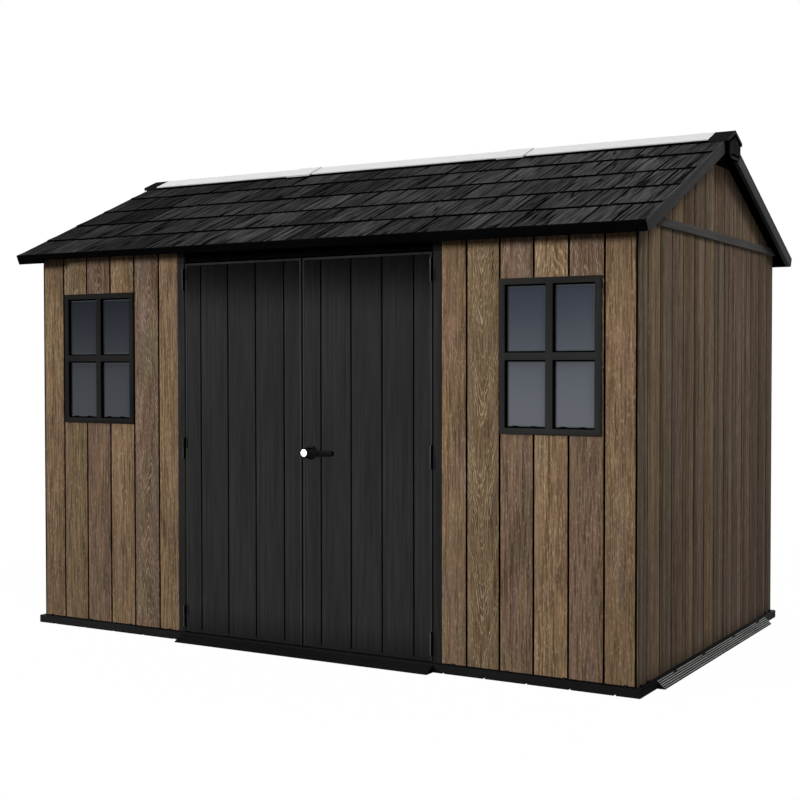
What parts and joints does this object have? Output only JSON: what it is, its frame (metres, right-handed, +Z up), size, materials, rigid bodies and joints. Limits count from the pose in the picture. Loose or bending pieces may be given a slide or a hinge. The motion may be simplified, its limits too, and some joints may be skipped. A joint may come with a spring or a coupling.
{
  "type": "garden shed",
  "caption": "Long-side garden shed with oak-look planked walls, charcoal double doors on pin hinges, barred windows, shingled gable roof and a translucent ridge skylight.",
  "frame": {"origin": "on the ground under the middle of the shed", "axes": "+Z up, -Y the front with the doors, +X the right-hand end as seen from the front"},
  "size_m": [3.494, 2.286, 2.456],
  "materials": {
    "oak_boards": "oak-look composite boards, matt with a raised grain",
    "charcoal_doors": "charcoal boards, matt with a fine upright grain",
    "charcoal_shingles": "charcoal shingle panels with streaks along the slope",
    "grey_trim": "dark grey trim, matt",
    "black_trim": "black trim, matt",
    "black_base": "black base, matt",
    "grey_ramp": "mid grey ribbed ramp, matt",
    "window_frames": "black window frame, matt",
    "window_glass": "clear pane with a dark room behind it",
    "skylight": "translucent white ridge light",
    "rafter_steel": "galvanised tube",
    "handle_black": "black lever handle, satin",
    "lock_metal": "bright lock face"
  },
  "bodies": {
    "shell": {"back_eaves_fascia": "black_trim", "back_left_barge_board": "grey_trim", "back_right_barge_board": "grey_trim", "back_roof_slope": "charcoal_shingles", "back_wall_left": "oak_boards", "back_wall_middle": "oak_boards", "back_wall_right": "oak_boards", "door_header": "black_trim", "door_ramp": "black_base", "floor_panel": "black_base", "front_eaves_fascia": "black_trim", "front_left_barge_board": "grey_trim", "front_right_barge_board": "grey_trim", "front_roof_slope": "charcoal_shingles", "front_wall_left": "oak_boards", "front_wall_right": "oak_boards", "left_door_jamb": "black_trim", "left_end_ramp": "grey_ramp", "left_end_wall": "oak_boards", "left_gable": "oak_boards", "left_gable_rail": "grey_trim", "left_gable_vent": "grey_trim", "left_hinge_pins": "black_trim", "left_ridge_cap": "black_trim", "left_window_frame": "window_frames", "left_window_glass": "window_glass", "ridge_skylight_left": "skylight", "ridge_skylight_middle": "skylight", "ridge_skylight_right": "skylight", "right_door_jamb": "black_trim", "right_end_ramp": "grey_ramp", "right_end_wall": "oak_boards", "right_gable": "oak_boards", "right_gable_rail": "grey_trim", "right_gable_vent": "grey_trim", "right_hinge_pins": "black_trim", "right_ridge_cap": "black_trim", "right_window_frame": "window_frames", "right_window_glass": "window_glass", "roof_rafters": "rafter_steel"},
    "left_door": {"left_door_leaf": "charcoal_doors", "left_door_hinges": "black_trim"},
    "right_door": {"right_door_leaf": "charcoal_doors", "right_door_hinges": "black_trim", "handle_rosette": "handle_black"},
    "door_handle": {"handle_lever": "handle_black", "lock_face": "lock_metal"}
  },
  "joints": [
    {"name": "left_door_swing", "type": "hinge", "parent": "shell", "child": "left_door", "pos_m": [-0.6965, -1.034, 0.952], "axis": [0, 0, -1], "range_deg": [0, 110]},
    {"name": "right_door_swing", "type": "hinge", "parent": "shell", "child": "right_door", "pos_m": [0.6965, -1.034, 0.952], "axis": [0, 0, 1], "range_deg": [0, 110]},
    {"name": "handle_turn", "type": "hinge", "parent": "right_door", "child": "door_handle", "pos_m": [0.051, -1.022, 0.953], "axis": [0, 1, 0], "range_deg": [0, 90]}
  ]
}
